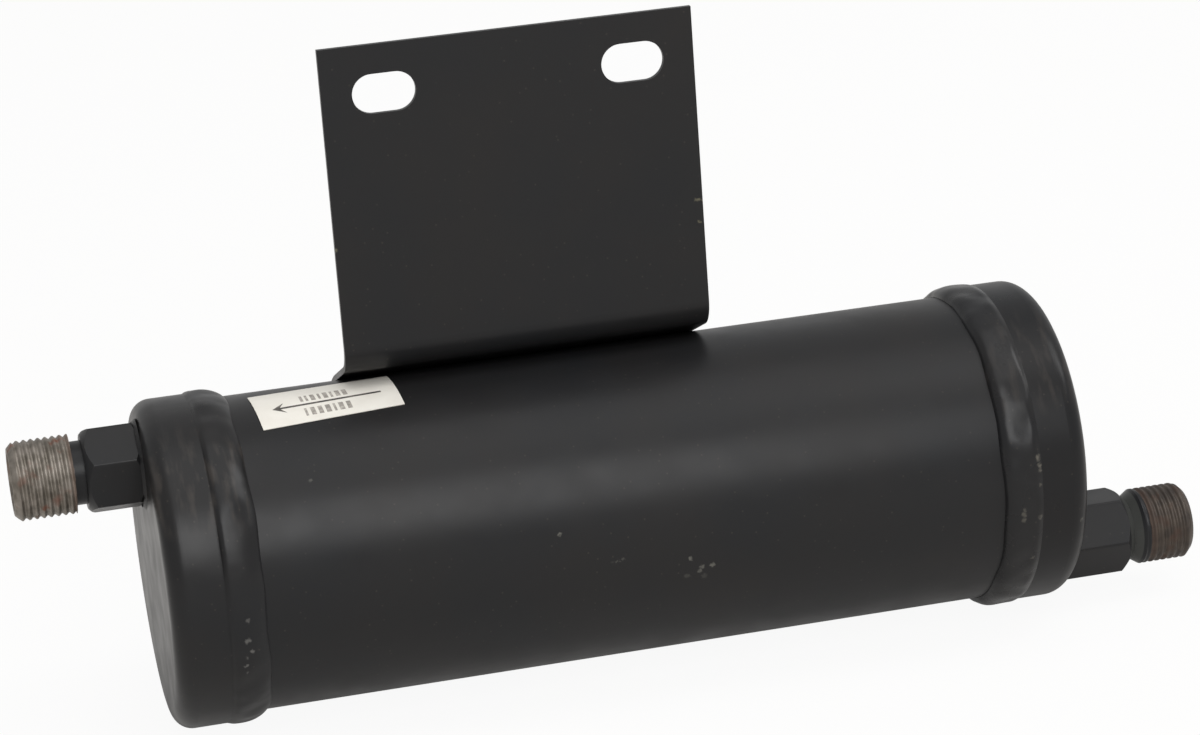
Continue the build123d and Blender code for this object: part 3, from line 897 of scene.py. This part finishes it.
# Gauze woven from 0.2 mm steel wire. Its real pitch is 0.5 mm, drawn at 1 mm so that it shows.
GAUZE_PITCH = 1.0
GAUZE_DEPTH = 0.1
WIRE_BRIGHTEST = 0.8
gauze, gauze_tree, gauze_output, gauze_place = new_material("woven_steel_gauze")
gauze_axes = add_node(gauze_tree, "ShaderNodeSeparateXYZ", {0: gauze_place})
wires = []
for axis in ("Y", "Z"):
    ripple = add_node(gauze_tree, "ShaderNodeMath", {
        0: gauze_axes.outputs[axis], 1: 2 * math.pi * per_mm(GAUZE_PITCH),
    }, operation="MULTIPLY")
    wire = add_node(gauze_tree, "ShaderNodeMath", {0: ripple.outputs[0]}, operation="SINE")
    wires.append(wire.outputs[0])
weave = add_node(gauze_tree, "ShaderNodeMath", {0: wires[0], 1: wires[1]}, operation="MAXIMUM")
gauze_tone = add_node(gauze_tree, "ShaderNodeMapRange", {
    "Value": weave.outputs[0], "From Min": 0.0, "From Max": WIRE_BRIGHTEST,
})
gauze_colour = add_node(gauze_tree, "ShaderNodeMix", {
    "Factor": gauze_tone.outputs["Result"], "A": linear("#2e2c2a"), "B": linear("#aaa69f"),
}, data_type="RGBA")
gauze_bump = add_node(gauze_tree, "ShaderNodeBump", {
    "Height": weave.outputs[0], "Distance": GAUZE_DEPTH * MM, "Strength": 1.0,
})
gauze_shader = add_node(gauze_tree, "ShaderNodeBsdfPrincipled", {
    "Base Color": gauze_colour.outputs["Result"], "Metallic": 0.9, "Roughness": 0.4,
    "Normal": gauze_bump.outputs["Normal"],
})
gauze_tree.links.new(gauze_shader.outputs[0], gauze_output.inputs["Surface"])
finish_node("outlet_screen", gauze)
finish_node("inlet_screen", gauze)


def granular(name, light, dark, grain, depth, roughness, sheen):
    """Packed grains or fibres: each cell of a grain's width has its own tone and stands up by depth."""
    material, tree, output, place = new_material(name)
    cells = add_node(tree, "ShaderNodeTexVoronoi", {"Vector": place, "Scale": per_mm(grain)})
    own = add_node(tree, "ShaderNodeSeparateColor", {0: cells.outputs["Color"]})
    tone = add_node(tree, "ShaderNodeMix", {
        "Factor": own.outputs[0], "A": linear(light), "B": linear(dark),
    }, data_type="RGBA")
    bump = add_node(tree, "ShaderNodeBump", {
        "Height": cells.outputs["Distance"], "Distance": depth * MM, "Strength": 1.0,
    }, invert=True)
    shader = add_node(tree, "ShaderNodeBsdfPrincipled", {
        "Base Color": tone.outputs["Result"], "Roughness": roughness, "Sheen Weight": sheen,
        "Normal": bump.outputs["Normal"],
    })
    tree.links.new(shader.outputs[0], output.inputs["Surface"])
    return material


# Felted wool pads, off-white and furry.
wool_felt = granular(
    "pressed_wool_felt", "#e0dacb", "#c6bfae", grain=0.5, depth=0.15, roughness=0.95, sheen=0.4,
)
finish_node("outlet_pad", wool_felt)
finish_node("inlet_pad", wool_felt)

# Beads of molecular sieve, 2.5 mm wide, cream and chalky.
sieve_beads = granular(
    "molecular_sieve_beads", "#dccfb2", "#b9a988", grain=2.5, depth=0.8, roughness=0.8, sheen=0.0,
)
finish_node("desiccant_bed", sieve_beads)

# Pickup tube
# A drawn steel tube pushed into the outlet union's socket, brazed there, and bent down to the
# bottom of the outlet chamber, where the liquid collects.
drawn_tube = bare_metal(
    "drawn_steel_tube", "#b4b0a9", "#918d86", roughness=0.35, grain=(0.4, 4.0), depth=0.003,
)
braze_metal = bare_metal(
    "silver_braze_filler", "#cdb374", "#a98a4a", roughness=0.42, grain=(1.2, 1.2), depth=0.02,
)
finish_node("pickup_tube", drawn_tube)
finish_node("pickup_tube_braze", braze_metal)

# Floor
# A plain pale sweep just under the vessel. The camera sees it nearly white, with a soft shadow.
FLOOR_Z = -125.95
FLOOR_HALF = 4.0
FLOOR_FIBRES = 40
floor_mesh = bpy.data.meshes.new("floor")
floor_corners = [
    (x * FLOOR_HALF, y * FLOOR_HALF, FLOOR_Z * MM) for x, y in ((-1, -1), (1, -1), (1, 1), (-1, 1))
]
floor_mesh.from_pydata(floor_corners, [], [(0, 1, 2, 3)])
floor = bpy.data.objects.new("floor", floor_mesh)
bpy.context.scene.collection.objects.link(floor)


def white_share(tree, straight, mirrored):
    """How far a ray is shown plain white: straight is for one from the camera itself, and mirrored for
    one by way of a reflection or glass. A ray that only gathers light is shown none, so the shadow and
    the light stay as they are."""
    path = add_node(tree, "ShaderNodeLightPath")
    share = 0.0
    for kind, part in (("Camera", straight), ("Glossy", mirrored), ("Transmission", mirrored)):
        seen = add_node(tree, "ShaderNodeMath", {
            0: path.outputs["Is " + kind + " Ray"], 1: part,
        }, operation="MULTIPLY")
        share = add_node(tree, "ShaderNodeMath", {
            0: seen.outputs[0], 1: share,
        }, operation="MAXIMUM").outputs[0]
    return share


pale_paper, paper_tree, paper_output, paper_place = new_material("pale_paper_floor")
fibres = add_node(paper_tree, "ShaderNodeTexNoise", {
    "Vector": paper_place, "Scale": per_mm(FLOOR_FIBRES), "Detail": 2.0,
})
paper_tone = add_node(paper_tree, "ShaderNodeMix", {
    "Factor": fibres.outputs["Fac"], "A": linear("#e9e6e2"), "B": linear("#e3e0dc"),
}, data_type="RGBA")
paper = add_node(paper_tree, "ShaderNodeBsdfDiffuse", {"Color": paper_tone.outputs["Result"]})
glow = add_node(paper_tree, "ShaderNodeEmission", {"Color": (1, 1, 1, 1), "Strength": 1.0})
sweep = add_node(paper_tree, "ShaderNodeMixShader", {
    0: white_share(paper_tree, straight=0.93, mirrored=0.2), 1: paper.outputs[0], 2: glow.outputs[0],
})
paper_tree.links.new(sweep.outputs[0], paper_output.inputs["Surface"])
floor_mesh.materials.append(pale_paper)

# Light
# A pale room at a plain level, with softboxes in front, on the right and overhead.
ROOM_LEVEL = 0.47
world = bpy.data.worlds.new("pale_studio")
bpy.context.scene.world = world
world.use_nodes = True
world_tree = world.node_tree
world_tree.nodes.clear()
world_level = add_node(world_tree, "ShaderNodeMapRange", {
    "Value": white_share(world_tree, straight=1.0, mirrored=0.25), "To Min": ROOM_LEVEL, "To Max": 1.0,
})
sky = add_node(world_tree, "ShaderNodeBackground", {
    "Color": (1, 1, 1, 1), "Strength": world_level.outputs["Result"],
})
add_node(world_tree, "ShaderNodeOutputWorld", {"Surface": sky.outputs[0]})

AIM = Vector((16.66, 11.09, -65.75)) * MM
SOFTBOX_DISTANCE = 1.6


def softbox(name, bearing, height, width, depth, radiance):
    """Area lamp aimed at the object, bearing degrees from the front towards +X and height degrees up.
    Its power is pi times its area times its radiance."""
    lamp = bpy.data.lights.new(name, "AREA")
    lamp.shape = "RECTANGLE"
    lamp.size = width
    lamp.size_y = depth
    lamp.energy = math.pi * width * depth * radiance
    light = bpy.data.objects.new(name, lamp)
    turn = math.radians(bearing)
    rise = math.radians(height)
    away = Vector((math.sin(turn) * math.cos(rise), -math.cos(turn) * math.cos(rise), math.sin(rise)))
    light.location = AIM + away * SOFTBOX_DISTANCE
    light.rotation_euler = away.to_track_quat("Z", "Y").to_euler()
    bpy.context.scene.collection.objects.link(light)


softbox("front_softbox", bearing=1, height=33, width=0.95, depth=0.85, radiance=4.8)
softbox("right_softbox", bearing=78, height=47, width=0.5, depth=0.8, radiance=5.2)
softbox("top_softbox", bearing=10, height=80, width=1.3, depth=1.3, radiance=1.2)

# Camera
# At the photograph's viewing angle: a little from the left, well above, and tipped sideways.
CAMERA_TURN = math.radians(12.51)
CAMERA_TILT = math.radians(17.44)
CAMERA_ROLL = math.radians(4.17)
CAMERA_DISTANCE = 0.7472
SENSOR_WIDTH = 36.0
FOCAL_LENGTH = 109.05
forward = Vector((
    math.sin(CAMERA_TURN) * math.cos(CAMERA_TILT),
    math.cos(CAMERA_TURN) * math.cos(CAMERA_TILT),
    -math.sin(CAMERA_TILT),
))
side = Vector((math.cos(CAMERA_TURN), -math.sin(CAMERA_TURN), 0))
top = side.cross(forward)
right = math.cos(CAMERA_ROLL) * side - math.sin(CAMERA_ROLL) * top
up = math.sin(CAMERA_ROLL) * side + math.cos(CAMERA_ROLL) * top
lens = bpy.data.cameras.new("camera")
lens.sensor_width = SENSOR_WIDTH
lens.lens = FOCAL_LENGTH
camera = bpy.data.objects.new("camera", lens)
facing = Matrix((right, up, -forward)).transposed().to_4x4()
camera.matrix_world = Matrix.Translation(AIM - forward * CAMERA_DISTANCE) @ facing
bpy.context.scene.collection.objects.link(camera)
bpy.context.scene.camera = camera
bpy.context.scene.view_settings.view_transform = "Standard"
